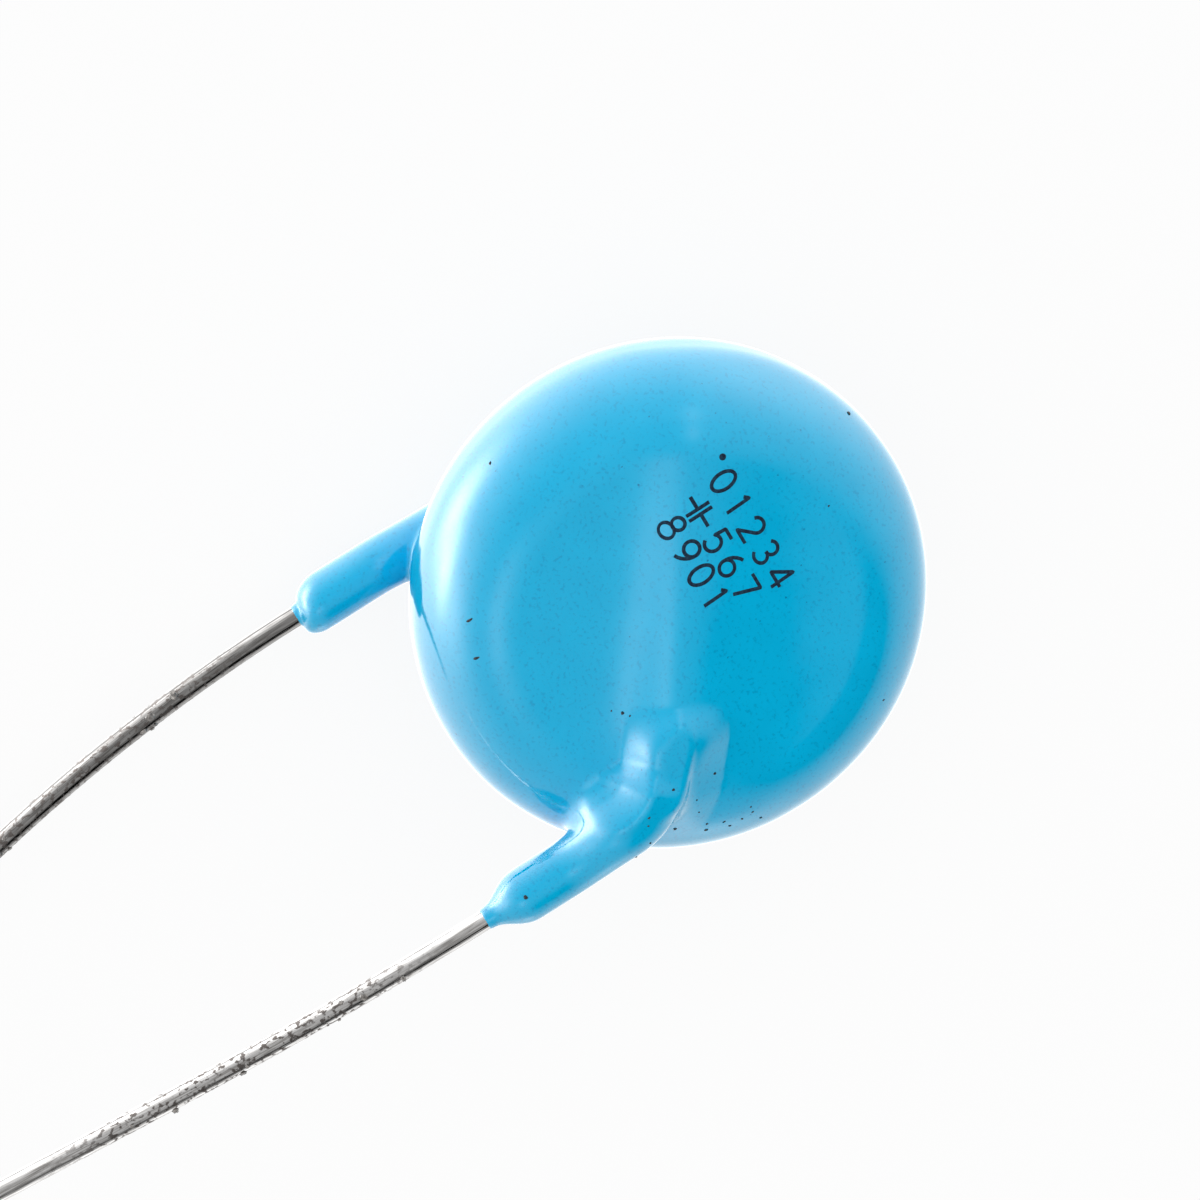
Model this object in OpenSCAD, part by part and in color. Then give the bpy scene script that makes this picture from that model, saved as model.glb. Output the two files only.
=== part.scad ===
// Leaded ceramic disc capacitor for high voltage, dip coated in epoxy resin.
//
// A thick ceramic disc carries a silver electrode on each face. A tinned copper lead is soldered
// across each electrode, and the whole is dipped in resin, which also runs a little way down both
// leads. The part lies on the back of its coating, as on a bench: +Z is up, X runs across the two
// leads, and +Y points from the leads to the far edge of the disc. The origin is where the axis of
// the disc meets the surface that the part lies on. All sizes are in millimetres.

/* [Ceramic element] */
// Diameter of the ceramic disc
ceramic_d = 13.2; // [12:0.1:14]
// Thickness of the ceramic disc
ceramic_t = 4.2; // [3.2:0.1:5.2]
// Diameter of the silver electrode on each face
electrode_d = 12; // [11:0.1:12.4]
// Thickness of each electrode
electrode_t = 0.05; // [0.04:0.01:0.1]

/* [Leads] */
// Diameter of the tinned wire
wire_d = 0.65; // [0.5:0.05:0.8]
// Distance between the two leads where they leave the coating
lead_pitch = 10; // [9:0.25:11]
// Length of each lead beyond the lower edge of the coated disc
lead_length = 26; // [22:0.5:32]
// Angle between a lead and its inner leg
leg_angle = 56; // [50:1:60]
// Distance by which the inner leg misses the axis of the disc
leg_offset = 0.3; // [0:0.1:0.6]
// Radius of the bend between a lead and its inner leg, at the centre of the wire
bend_r = 2.6; // [2:0.1:3]
// Length of the inner leg past the axis of the disc
leg_reach = 4.9; // [3:0.1:5.2]
// Angle that the front lead is bowed towards the back lead
front_bow = 4.4; // [1:0.1:8]
// Radius of the front lead's bow
front_bow_r = 142; // [120:1:220]
// Angle that the back lead is bowed towards the front lead
back_bow = 13.2; // [1:0.1:15]
// Radius of the back lead's bow
back_bow_r = 57; // [40:1:80]

/* [Solder joints] */
// Solder film between the wire and the electrode
solder_film = 0.05; // [0.03:0.01:0.1]
// Width of a solder joint where it meets the electrode
solder_w = 2; // [1.6:0.1:2.6]
// Height of a solder joint above the electrode
solder_h = 0.5; // [0.4:0.05:0.6]
// Length of bare wire at the bend and at the cut end of the inner leg
solder_gap = 0.6; // [0.3:0.1:1.2]

/* [Coating] */
// Resin around the edge of the ceramic disc
coat_edge = 1.6; // [1.3:0.1:2]
// Resin over each electrode
coat_face = 0.9; // [0.85:0.05:1.4]
// Rounding radius of the coated edge
edge_round = 2.8; // [2.4:0.1:2.9]
// Fall of the face from the middle to the edge of the coated disc
face_fall = 0.1; // [0:0.01:0.2]
// Diameter of the resin sleeve on each lead
sleeve_d = 1.76; // [1.5:0.02:2]
// Length of sleeve beyond the lower edge of the coated disc
sleeve_run = 1.9; // [1.2:0.1:3]
// Length over which a sleeve tapers down to the wire
sleeve_taper = 1.2; // [0.8:0.1:1.6]
// Resin film on the wire at the tip of a sleeve
sleeve_film = 0.04; // [0.03:0.01:0.08]
// Radius of the resin round the wire in the bend, where it stands proud of the face
root_r = 1.3; // [1.1:0.05:1.5]
// Height of the middle of that resin above the middle of the wire
root_lift = 0.25; // [0.1:0.05:0.4]
// Length of lead over which a sleeve swells to that radius before the bend
root_swell = 2.4; // [1.6:0.1:3]
// Length of inner leg on which the resin stays proud
root_hold = 0.9; // [0.5:0.1:1.5]
// Length of inner leg over which the proud resin sinks into the face after that
root_sink = 3; // [2:0.1:4]
// Reach of the fillet between the resin round a lead and the coated disc
root_blend = 0.45; // [0.3:0.05:0.8]
// Height of the ridge that the inner leg raises in the face
ridge_h = 0.8; // [0.3:0.05:0.9]
// Half width of the ridge on its steep side, which faces the leads
ridge_steep_w = 1.4; // [1.2:0.1:2]
// Half width of the ridge on its gentle side, which faces the far edge
ridge_gentle_w = 2.6; // [2:0.1:3]
// Length of inner leg over which the ridge rises out of the face
ridge_rise = 3.8; // [3:0.1:5]
// Length over which the ridge would fade away again if the inner leg were long enough
ridge_fade = 21; // [16:1:30]

/* [Hidden] */
$fn = 48;

resin_blue = [0.10, 0.62, 0.82];
ceramic_tan = [0.82, 0.74, 0.60];
silver = [0.86, 0.86, 0.84];
solder_grey = [0.66, 0.67, 0.69];
tinned = [0.75, 0.75, 0.74];

wire_r = wire_d / 2;
bend_thinning = 0.003;
bend_lap = 0.05;
sleeve_r = sleeve_d / 2;
body_r = ceramic_d / 2 + coat_edge;
electrode_z = ceramic_t / 2 + electrode_t;   // outer surface of the front electrode
half_t = electrode_z + coat_face;            // half of the coated thickness at the axis
edge_r = min(edge_round, half_t - face_fall);
wire_z = electrode_z + solder_film + wire_r; // height of the front lead's centre line
lead_x = lead_pitch / 2;
corner_y = -lead_x / tan(leg_angle) - leg_offset / sin(leg_angle); // the two lines meet here
sleeve_tip_y = -body_r - sleeve_run;

// ---- The line of a front lead, in plan ----
// Straight up from the tip of its sleeve, round the bend, and along the inner leg to its cut end
leg_dir = [-sin(leg_angle), cos(leg_angle)];
corner = [lead_x, corner_y];
leg_end = [-cos(leg_angle), -sin(leg_angle)] * leg_offset + leg_dir * leg_reach;
corner_cut = bend_r * tan(leg_angle / 2);    // the bend cuts this much off both straights
bend_y = corner_y - corner_cut;
bend_run = bend_r * leg_angle * PI / 180;
leg_start = corner + leg_dir * corner_cut;
leg_length = norm(leg_end - leg_start);

// Distance from a point to that line, and how far along it the nearest place lies, which is 0 at
// the start of the bend and negative below it
function along_lead(x, y) =
    let (
        p = [x, y], arm = p - [lead_x - bend_r, bend_y], turn = atan2(arm[1], arm[0]),
        leg_at = min(max((p - leg_start) * leg_dir, 0), leg_length),
        low_at = min(max(bend_y - y, 0), bend_y - sleeve_tip_y),
        from_leg = norm(p - leg_start - leg_dir * leg_at),
        from_low = norm(p - [lead_x, bend_y - low_at]),
        from_bend = turn > 0 && turn < leg_angle ? abs(norm(arm) - bend_r) : from_leg + from_low
    )
    from_bend < min(from_leg, from_low) ? [from_bend, bend_r * turn * PI / 180]
    : from_leg < from_low ? [from_leg, bend_run + leg_at] : [from_low, -low_at];

// ---- The shape of the resin ----
// The resin is a smooth union of two forms: the coated disc, with a soft ridge over each inner leg,
// and the resin round each lead, from the tip of its sleeve to where it sinks into the face. Each
// form is given as a signed distance, negative inside. The back of the part is its front turned
// half a turn about Y, so only the front half is written down.

function turned(p) = [-p[0], p[1], -p[2]];
function blend(a, b, reach) = min(a, b) - pow(max(reach - abs(a - b), 0), 2) / (4 * reach);
function eased(t) = let (u = min(max(t, 0), 1)) u * u * (3 - 2 * u);

// Height of the face: it falls a little to the edge, and the ridge fades along the inner leg
function ridge_z(x, y) =
    let (
        from = [x, y] - corner, at = from * leg_dir,
        off = from[0] * leg_dir[1] - from[1] * leg_dir[0]
    )
    ridge_h * eased(at / ridge_rise) * max(1 - at / ridge_fade, 0)
        * exp(-pow(off / (off > 0 ? ridge_gentle_w : ridge_steep_w), 2));
function face_z(x, y) =
    half_t - face_fall * (x * x + y * y) / pow(body_r, 2) + ridge_z(x, y);
function disc_form(p) =
    let (q = [norm([p[0], p[1]]) - (body_r - edge_r), p[2] - (face_z(p[0], p[1]) - edge_r)])
    norm([max(q[0], 0), max(q[1], 0)]) + min(max(q[0], q[1]), 0) - edge_r;

function sleeve_r_at(y) =
    let (u = min(max((y - sleeve_tip_y) / sleeve_taper, 0), 1), tip_r = wire_r + sleeve_film)
    tip_r + (sleeve_r - tip_r) * sqrt(1 - pow(1 - u, 2));
function lead_form(p) =
    let (
        line = along_lead(p[0], p[1]),
        rise = eased(1 + line[1] / root_swell),
        sink = eased((line[1] - bend_run - root_hold) / root_sink),
        r = sleeve_r_at(p[1]) * (1 - rise) + root_r * rise - 0.6 * root_r * sink
    )
    norm([line[0], p[2] - wire_z - root_lift * rise * (1 - sink)]) - r;
function resin(p) =
    let (q = p[2] < 0 ? turned(p) : p)
    blend(disc_form(q), lead_form(q), root_blend);

// ---- The skin of the resin as one closed mesh ----
// Rings run from the middle of the front face over the edge to the middle of the back face. Where a
// sleeve leaves the edge, a window is left out of the rings, and a tube grows from its rim.

columns = 80;
face_rings = 7;
edge_step = 15;
edge_rings = 180 / edge_step + 2;
rings = 2 * (face_rings - 1) + edge_rings;

// A point on the plain coated disc and the direction out of it, for one ring and one column
function ring_spot(k) =
    k >= rings / 2 ? let (s = ring_spot(rings - 1 - k)) [s[0], -s[1], -s[2]]
    : k < face_rings - 1 ? [(body_r - edge_r) * (k + 1) / face_rings, half_t, 90]
    : let (a = 90 - edge_step * (k - face_rings + 1))
      [body_r - edge_r + edge_r * cos(a), half_t - face_fall - edge_r + edge_r * sin(a), a];
function outward(column, rise) =
    let (turn = 360 * column / columns)
    [cos(turn) * cos(rise), sin(turn) * cos(rise), sin(rise)];
function pushed(p, dir, steps = 14) = steps == 0 ? p : pushed(p - dir * resin(p), dir, steps - 1);
function ring_point(k, column) =
    let (s = ring_spot(k), out = outward(column, 0))
    pushed([s[0] * out[0], s[0] * out[1], s[1]], outward(column, s[2]));

// Window for the front sleeve: its rings and columns, and the loop of points round it
window_top = face_rings - 2;
window_low = face_rings + 5;
window_half = 6;
window_mid = round(-acos(lead_x / (body_r - 0.6)) * columns / 360) + columns;
window_left = window_mid - window_half;
window_right = window_mid + window_half;
loop = [
    for (c = [window_left : window_right - 1]) [window_top, c],
    for (k = [window_top : window_low - 1]) [k, window_right],
    for (c = [window_right : -1 : window_left + 1]) [window_low, c],
    for (k = [window_low : -1 : window_top + 1]) [k, window_left]
];

// The skin between a window's rim and its tube is cast outwards from one place inside the root,
// from where all of it can be seen
root_eye = [lead_x - 0.7, bend_y + 0.2, wire_z - 0.8];
function unit(v) = v / norm(v);
function cast(dir, t = 0, steps = 40) =
    let (p = root_eye + dir * t)
    steps == 0 ? p : cast(dir, t - resin(p), steps - 1);

root_steps = 9;
shank_steps = 3;
taper_steps = 6;
shank_y = -sqrt(pow(body_r, 2) - pow(lead_x - sleeve_r, 2)) - 0.45;
taper_y = sleeve_tip_y + sleeve_taper;
sleeve_stations = concat(
    [for (i = [0 : shank_steps - 1]) shank_y + (taper_y - shank_y) * i / shank_steps],
    [for (i = [0 : taper_steps]) taper_y - sleeve_taper * sin(90 * i / taper_steps)]
);

// Angle round the lead at which the rail from a rim point runs: partly where the point is, partly
// an even share of the turn
function rail_angle(p, share) =
    let (even = 155 - 360 * share, there = atan2(p[2] - root_eye[2], p[0] - root_eye[0]) - even)
    even + 0.4 * (there - 360 * round(there / 360));
function round_point(angle, y) =
    [lead_x, y, wire_z] + sleeve_r_at(y) * [cos(angle), 0, sin(angle)];
function skin_points() =
    let (
        grid = [for (k = [0 : rings - 1]) for (c = [0 : columns - 1]) ring_point(k, c)],
        rim = [for (l = loop) grid[l[0] * columns + l[1] % columns]],
        angles = [for (j = [0 : len(rim) - 1]) rail_angle(rim[j], j / len(rim))],
        root = [for (i = [1 : root_steps]) for (j = [0 : len(loop) - 1])
            let (
                u = sin(90 * i / (root_steps + 1)),
                far = unit(round_point(angles[j], shank_y) - root_eye)
            )
            cast(unit(unit(rim[j] - root_eye) * (1 - u) + far * u))],
        shank = [for (y = sleeve_stations) for (a = angles) round_point(a, y)],
        tube = concat(root, shank, [[lead_x, sleeve_tip_y, wire_z]]),
        pole = pushed([0, 0, half_t], [0, 0, 1])
    )
    concat(grid, tube, [for (p = tube) turned(p)], [pole, turned(pole)]);

grid_size = rings * columns;
tube_rows = root_steps + len(sleeve_stations);
tube_size = tube_rows * len(loop) + 1;
function grid_index(k, c) = k * columns + (c + columns) % columns;
// The grid point that a half turn about Y brings to ring k and column c
function turned_index(k, c) = grid_index(rings - 1 - k, columns / 2 - c + columns);
function two_triangles(a, b, c, d) = [[a, b, c], [a, c, d]];
function in_window(k, c) =
    k >= window_top && k < window_low && c >= window_left && c < window_right;
function in_any_window(k, c) =
    in_window(k, c) || in_window(rings - 2 - k, (columns / 2 - c - 1 + columns) % columns);
function tube_faces(start, back) = [
    for (row = [0 : tube_rows - 1]) for (j = [0 : len(loop) - 1])
        let (
            n = len(loop), j2 = (j + 1) % n, l = loop[j], l2 = loop[j2],
            a = row > 0 ? start + (row - 1) * n + j
                : back ? turned_index(l[0], l[1]) : grid_index(l[0], l[1]),
            b = row > 0 ? start + (row - 1) * n + j2
                : back ? turned_index(l2[0], l2[1]) : grid_index(l2[0], l2[1])
        )
        each two_triangles(a, b, start + row * n + j2, start + row * n + j),
    for (j = [0 : len(loop) - 1])
        let (last = start + (tube_rows - 1) * len(loop))
        [last + j, last + (j + 1) % len(loop), start + tube_size - 1]
];
skin_faces = [
    for (k = [0 : rings - 2]) for (c = [0 : columns - 1])
        if (!in_any_window(k, c))
            each two_triangles(grid_index(k, c), grid_index(k, c + 1),
                               grid_index(k + 1, c + 1), grid_index(k + 1, c)),
    each tube_faces(grid_size, false),
    each tube_faces(grid_size + tube_size, true),
    for (c = [0 : columns - 1])
        each [[grid_size + 2 * tube_size, grid_index(0, c + 1), grid_index(0, c)],
              [grid_size + 2 * tube_size + 1, grid_index(rings - 1, c), grid_index(rings - 1, c + 1)]]
];

// Height of the middle of the disc above the surface: the back ridge is the lowest place
skin = skin_points();
rest_z = max([for (p = skin) p[2]]);

// ---- Placing ----

module lift() translate([0, 0, rest_z]) children();
module turn_to_back() rotate([0, 180, 0]) children();

// ---- Wire ----

// A straight length of wire that runs along -Y from where it starts
module straight_wire(length) rotate([90, 0, 0]) cylinder(r = wire_r, h = length);

// A bend that starts along -Y and turns by angle towards -X. The stretched wire in it is a trace
// thinner, and laps a little way into the straight lengths at both ends.
module wire_bend(radius, angle) {
    lap_angle = bend_lap / radius * 180 / PI;
    translate([-radius, 0, 0]) rotate([0, 0, -angle - lap_angle])
        rotate_extrude(angle = angle + 2 * lap_angle, $fn = 96)
            translate([radius, 0]) circle(r = wire_r - bend_thinning);
}
module after_bend(radius, angle)
    translate([-radius, 0, 0]) rotate([0, 0, -angle]) translate([radius, 0, 0]) children();

// A front lead: inner leg, bend, straight root, bow and straight free end
module lead(bow, bow_r) {
    root_length = bend_y - sleeve_tip_y;
    end_length = lead_length - sleeve_run - bow_r * bow * PI / 180;
    translate([lead_x, bend_y, wire_z]) {
        mirror([0, 1, 0]) {
            wire_bend(bend_r, leg_angle);
            after_bend(bend_r, leg_angle) straight_wire(leg_length);
        }
        straight_wire(root_length);
        translate([0, -root_length, 0]) {
            wire_bend(bow_r, bow);
            after_bend(bow_r, bow) straight_wire(end_length);
        }
    }
}

module front_lead() color(tinned) lift() lead(front_bow, front_bow_r);
module back_lead() color(tinned) lift() turn_to_back() lead(back_bow, back_bow_r);

// ---- Ceramic element ----

module ceramic_disc() color(ceramic_tan) lift()
    translate([0, 0, -ceramic_t / 2]) cylinder(d = ceramic_d, h = ceramic_t, $fn = 96);

module electrode() translate([0, 0, ceramic_t / 2])
    cylinder(d = electrode_d, h = electrode_t, $fn = 96);
module front_electrode() color(silver) lift() electrode();
module back_electrode() color(silver) lift() turn_to_back() electrode();

// ---- Solder joints ----

// Half of a joint's section: solder climbs the wire in a hollow curve from the electrode
module solder_half_section() {
    flank = solder_w / 2;
    difference() {
        square([flank, solder_h]);
        translate([flank, flank / 2 + solder_h / 2]) circle(r = flank / 2 + solder_h / 2 - 0.02);
    }
}

module solder_mound(length) {
    rotate([90, 0, 0]) linear_extrude(height = length) {
        solder_half_section();
        mirror([1, 0]) solder_half_section();
    }
    for (y = [0, -length]) translate([0, y, 0])
        rotate_extrude($fn = 64) solder_half_section();
}

module solder_joint(bow, bow_r) {
    difference() {
        translate([lead_x, corner_y, electrode_z]) rotate([0, 0, 180 + leg_angle])
            translate([0, -corner_cut - solder_gap, 0])
                solder_mound(leg_length - 2 * solder_gap);
        lead(bow, bow_r);
    }
}
module front_solder_joint() color(solder_grey) lift() solder_joint(front_bow, front_bow_r);
module back_solder_joint() color(solder_grey) lift() turn_to_back()
    solder_joint(back_bow, back_bow_r);

// ---- Coating ----

module resin_skin() polyhedron(points = skin, faces = skin_faces, convexity = 6);

module coating() color(resin_blue) difference() {
    lift() resin_skin();
    ceramic_disc();
    front_electrode();
    back_electrode();
    front_solder_joint();
    back_solder_joint();
    front_lead();
    back_lead();
}

ceramic_disc();
front_electrode();
back_electrode();
front_solder_joint();
back_solder_joint();
front_lead();
back_lead();
coating();
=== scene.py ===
import math

import bpy
from mathutils import Matrix, Vector
from mathutils.bvhtree import BVHTree


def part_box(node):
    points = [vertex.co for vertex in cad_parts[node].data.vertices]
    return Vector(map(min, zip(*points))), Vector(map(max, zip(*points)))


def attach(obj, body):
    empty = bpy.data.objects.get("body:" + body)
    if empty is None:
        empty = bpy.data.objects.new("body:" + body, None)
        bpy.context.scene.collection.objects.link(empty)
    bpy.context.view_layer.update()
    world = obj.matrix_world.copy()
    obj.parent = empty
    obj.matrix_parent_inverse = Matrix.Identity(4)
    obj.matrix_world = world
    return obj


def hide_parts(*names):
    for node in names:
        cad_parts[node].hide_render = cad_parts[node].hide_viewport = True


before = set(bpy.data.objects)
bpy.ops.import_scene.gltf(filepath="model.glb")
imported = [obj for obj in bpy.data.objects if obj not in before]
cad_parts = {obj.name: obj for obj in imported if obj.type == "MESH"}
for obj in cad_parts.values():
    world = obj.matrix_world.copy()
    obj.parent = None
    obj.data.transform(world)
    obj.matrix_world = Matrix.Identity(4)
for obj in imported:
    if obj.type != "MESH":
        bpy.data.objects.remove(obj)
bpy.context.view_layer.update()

# ---------------------------------------------------------------------------------------------
# Coating. The real one is liquid epoxy that the finished element was dipped in and that was then
# cured: one continuous skin, drawn by surface tension into a rounded edge, a ridge over each wire
# inside, and a sleeve down each lead. A smooth union of distances gives that form here.

disc_low, disc_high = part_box("ceramic_disc")
disc_z = (disc_low[2] + disc_high[2]) / 2
wire_low, wire_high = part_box("front_lead")
wire_z = (wire_low[2] + wire_high[2]) / 2 - disc_z

# Sizes in millimetres from the centre of the disc. The inner leg lies at leg_angle to the outer
# lead and passes the axis at leg_offset. A "run" is counted along the wire from where its bend
# starts, and an "offset" from the wire's line, positive on the outer side of the bend.
leg_angle, bend_radius, wire_radius = math.radians(56), 2.6, 0.325
lead_offset, leg_offset, leg_reach = 5.0, 0.3, 4.9
leg_way = Vector((-math.sin(leg_angle), math.cos(leg_angle)))
foot = Vector((-math.cos(leg_angle), -math.sin(leg_angle))) * leg_offset
corner = Vector((lead_offset,
                 -lead_offset / math.tan(leg_angle) - leg_offset / math.sin(leg_angle)))
corner_cut = bend_radius * math.tan(leg_angle / 2)
leg_start, leg_end = corner + leg_way * corner_cut, foot + leg_way * leg_reach
form_sizes = {
    "Disc radius": 8.2, "Half thickness": 3.05, "Edge rounding": 2.8, "Face fall": 0.1,
    "Lead offset": corner.x, "Wire height": wire_z * 1000, "Wire radius": wire_radius,
    "Corner y": corner.y, "Leg angle": leg_angle, "Bend radius": bend_radius,
    "Bend y": corner.y - corner_cut, "Leg start x": leg_start.x, "Leg start y": leg_start.y,
    "Leg length": (leg_end - leg_start).length,
    "Sleeve radius": 0.885, "Sleeve end y": -10.1, "Film on wire": 0.04, "Front taper": 1.5,
    "Back taper": 0.8, "Back slant": 0.3,
    "Root radius": 0.95, "Root lift": 0.6, "Root shift": 0.38, "Root swell": 2.4,
    "Root hold": -0.7, "Root sink": 1.9, "Root slimming": 0.6, "Crease": 0.35,
    "Flank": 0.75, "Flank offset": -0.9, "Flank width": 0.9, "Flank start": -2.2,
    "Flank end": 2.4, "Flank ease": 1.8, "Flank blend": 0.3,
    "Inner bank": 0.85, "Inner bank width": 1.05, "Inner bank foot": -1.6,
    "Inner bank back": -0.1, "Inner bank back width": 0.7, "Inner bank start": -1.6,
    "Inner bank end": 3.1, "Inner bank ease": 1.8,
    "Outer bank": 0.6, "Outer bank width": 1.4, "Outer bank top": 0.35, "Outer bank back": -0.6,
    "Outer bank back width": 0.8, "Outer bank start": 0.7, "Outer bank rise": 1.3,
    "Outer bank end": 3.6, "Outer bank drop": 1.4, "Tallest": 1.0, "Tallest blend": 0.3,
    "Ridge height": 0.8, "Ridge steep width": 1.4, "Ridge gentle width": 2.6, "Ridge rise": 3.8,
    "Ridge fade": 21.0, "Unevenness": 0.03,
}


def node_group(title, inputs, output="Geometry"):
    """A new node group. Each input is a number, its default, or the kind of its socket."""
    group = bpy.data.node_groups.new(title, "GeometryNodeTree")
    for name, value in inputs.items():
        if isinstance(value, str):
            group.interface.new_socket(name, in_out="INPUT", socket_type="NodeSocket" + value)
        else:
            group.interface.new_socket(name, in_out="INPUT",
                                       socket_type="NodeSocketFloat").default_value = value
    kind = "Geometry" if output == "Geometry" else "Float"
    group.interface.new_socket(output, in_out="OUTPUT", socket_type="NodeSocket" + kind)
    return (group, group.nodes.new("NodeGroupInput").outputs,
            group.nodes.new("NodeGroupOutput").inputs[output])


def calc(tree, operation, *values, vector=False, out=0):
    """One Math or Vector Math node, with each value a socket or a number."""
    n = tree.nodes.new("ShaderNodeVectorMath" if vector else "ShaderNodeMath")
    n.operation = operation
    for socket, value in zip(n.inputs, values):
        if isinstance(value, bpy.types.NodeSocket):
            tree.links.new(value, socket)
        else:
            socket.default_value = value
    return n.outputs[out]


def joined(tree, x, y, z):
    """A vector of three parts, each a socket or a number."""
    n = tree.nodes.new("ShaderNodeCombineXYZ")
    for socket, value in zip(n.inputs, (x, y, z)):
        if isinstance(value, bpy.types.NodeSocket):
            tree.links.new(value, socket)
        else:
            socket.default_value = value
    return n.outputs[0]


def parts_of(tree, vector):
    """The three parts of a vector."""
    n = tree.nodes.new("ShaderNodeSeparateXYZ")
    tree.links.new(vector, n.inputs[0])
    return n.outputs


form, size, form_result = node_group("resin_distance", {"Point": "Vector", **form_sizes},
                                     "Distance")
f = lambda operation, *values: calc(form, operation, *values)

# The back of the part is its front turned half a turn about the lead axis
px, py, pz = parts_of(form, size["Point"])
back = f("LESS_THAN", pz, 0.0)
side = f("SUBTRACT", 1.0, f("MULTIPLY", back, 2.0))
qx, qz = f("MULTIPLY", px, side), f("MULTIPLY", pz, side)


def blended(a, b, reach):
    """The lesser of two values, with a smooth turn where they come within reach."""
    near = f("MAXIMUM", f("SUBTRACT", reach, f("ABSOLUTE", f("SUBTRACT", a, b))), 0.0)
    return f("SUBTRACT", f("MINIMUM", a, b),
             f("DIVIDE", f("MULTIPLY", near, near), f("MULTIPLY", reach, 4.0)))


def eased(t):
    """0 to 1 as t goes from 0 to 1, level at both ends."""
    u = f("MINIMUM", f("MAXIMUM", t, 0.0), 1.0)
    return f("MULTIPLY", f("MULTIPLY", u, u), f("SUBTRACT", 3.0, f("MULTIPLY", u, 2.0)))


def clamped(value, low, high):
    return f("MINIMUM", f("MAXIMUM", value, low), high)


def length(x, y):
    return f("SQRT", f("ADD", f("MULTIPLY", x, x), f("MULTIPLY", y, y)))


def over(value, start, width):
    """0 up to the start, 1 from a width beyond it."""
    return eased(f("DIVIDE", f("SUBTRACT", value, start), width))


def within(value, start, rise_width, end, drop_width):
    """1 between a start and an end, eased in from the start and out from the end."""
    return f("MULTIPLY", over(value, start, rise_width),
             f("SUBTRACT", 1.0, over(value, end, drop_width)))


def either(choice, yes, no):
    return f("ADD", f("MULTIPLY", choice, yes), f("MULTIPLY", f("SUBTRACT", 1.0, choice), no))


# The ridge that the inner leg raises, steep towards the leads and gentle towards the far edge
way_x, way_y = f("MULTIPLY", f("SINE", size["Leg angle"]), -1.0), f("COSINE", size["Leg angle"])
from_x, from_y = f("SUBTRACT", qx, size["Lead offset"]), f("SUBTRACT", py, size["Corner y"])
at = f("ADD", f("MULTIPLY", from_x, way_x), f("MULTIPLY", from_y, way_y))
off = f("SUBTRACT", f("MULTIPLY", from_x, way_y), f("MULTIPLY", from_y, way_x))
wide = either(f("GREATER_THAN", off, 0.0), size["Ridge gentle width"], size["Ridge steep width"])
share = f("DIVIDE", off, wide)
ridge = f("MULTIPLY", f("EXPONENT", f("MULTIPLY", f("MULTIPLY", share, share), -1.0)),
          f("MULTIPLY", size["Ridge height"],
            f("MULTIPLY", eased(f("DIVIDE", at, size["Ridge rise"])),
              f("MAXIMUM", f("SUBTRACT", 1.0, f("DIVIDE", at, size["Ridge fade"])), 0.0))))

# Distance in plan from the wire's line, and how far along it the nearest place lies
arm_x = f("ADD", from_x, size["Bend radius"])
arm_y = f("SUBTRACT", py, size["Bend y"])
turn = f("ARCTAN2", arm_y, arm_x)
leg_x, leg_y = f("SUBTRACT", qx, size["Leg start x"]), f("SUBTRACT", py, size["Leg start y"])
leg_at = clamped(f("ADD", f("MULTIPLY", leg_x, way_x), f("MULTIPLY", leg_y, way_y)),
                 0.0, size["Leg length"])
low_at = clamped(f("MULTIPLY", arm_y, -1.0), 0.0,
                 f("SUBTRACT", size["Bend y"], size["Sleeve end y"]))
from_leg = length(f("SUBTRACT", leg_x, f("MULTIPLY", leg_at, way_x)),
                  f("SUBTRACT", leg_y, f("MULTIPLY", leg_at, way_y)))
from_low = length(from_x, f("ADD", arm_y, low_at))
in_bend = f("MULTIPLY", f("GREATER_THAN", turn, 0.0), f("LESS_THAN", turn, size["Leg angle"]))
from_bend = either(in_bend, f("ABSOLUTE", f("SUBTRACT", length(arm_x, arm_y), size["Bend radius"])),
                   1000.0)
at_bend = f("LESS_THAN", from_bend, f("MINIMUM", from_leg, from_low))
at_leg = f("LESS_THAN", from_leg, from_low)
away = f("MINIMUM", from_bend, f("MINIMUM", from_leg, from_low))
bend_run = f("MULTIPLY", size["Bend radius"], size["Leg angle"])
run = either(at_bend, f("MULTIPLY", size["Bend radius"], turn),
             either(at_leg, f("ADD", bend_run, leg_at), f("MULTIPLY", low_at, -1.0)))

# How far to the outer side of the bend, or of the straights that it joins, a point lies
off_leg = f("SUBTRACT", f("MULTIPLY", leg_x, way_y), f("MULTIPLY", leg_y, way_x))
outward = either(at_bend, f("SUBTRACT", length(arm_x, arm_y), size["Bend radius"]),
                 either(at_leg, off_leg, from_x))

# Where the leg leaves the bend the resin stands in a bank, straight down to the face on either side
stands = within(run, size["Inner bank start"], size["Inner bank ease"],
                size["Inner bank end"], size["Inner bank ease"])
climb = f("DIVIDE", f("SUBTRACT", outward, size["Inner bank foot"]), size["Inner bank width"])
climb = f("ADD", f("MULTIPLY", clamped(climb, 0.0, 1.0), 0.6), f("MULTIPLY", eased(climb), 0.4))
inner = f("MULTIPLY", climb, f("SUBTRACT", 1.0, over(outward, size["Inner bank back"],
                                                     size["Inner bank back width"])))
shoulder = within(run, size["Outer bank start"], size["Outer bank rise"],
                  size["Outer bank end"], size["Outer bank drop"])
down = f("SUBTRACT", 1.0, clamped(f("DIVIDE", f("SUBTRACT", outward, size["Outer bank top"]),
                                    size["Outer bank width"]), 0.0, 1.0))
outer = f("MULTIPLY", down, over(outward, size["Outer bank back"],
                                 size["Outer bank back width"]))
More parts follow.
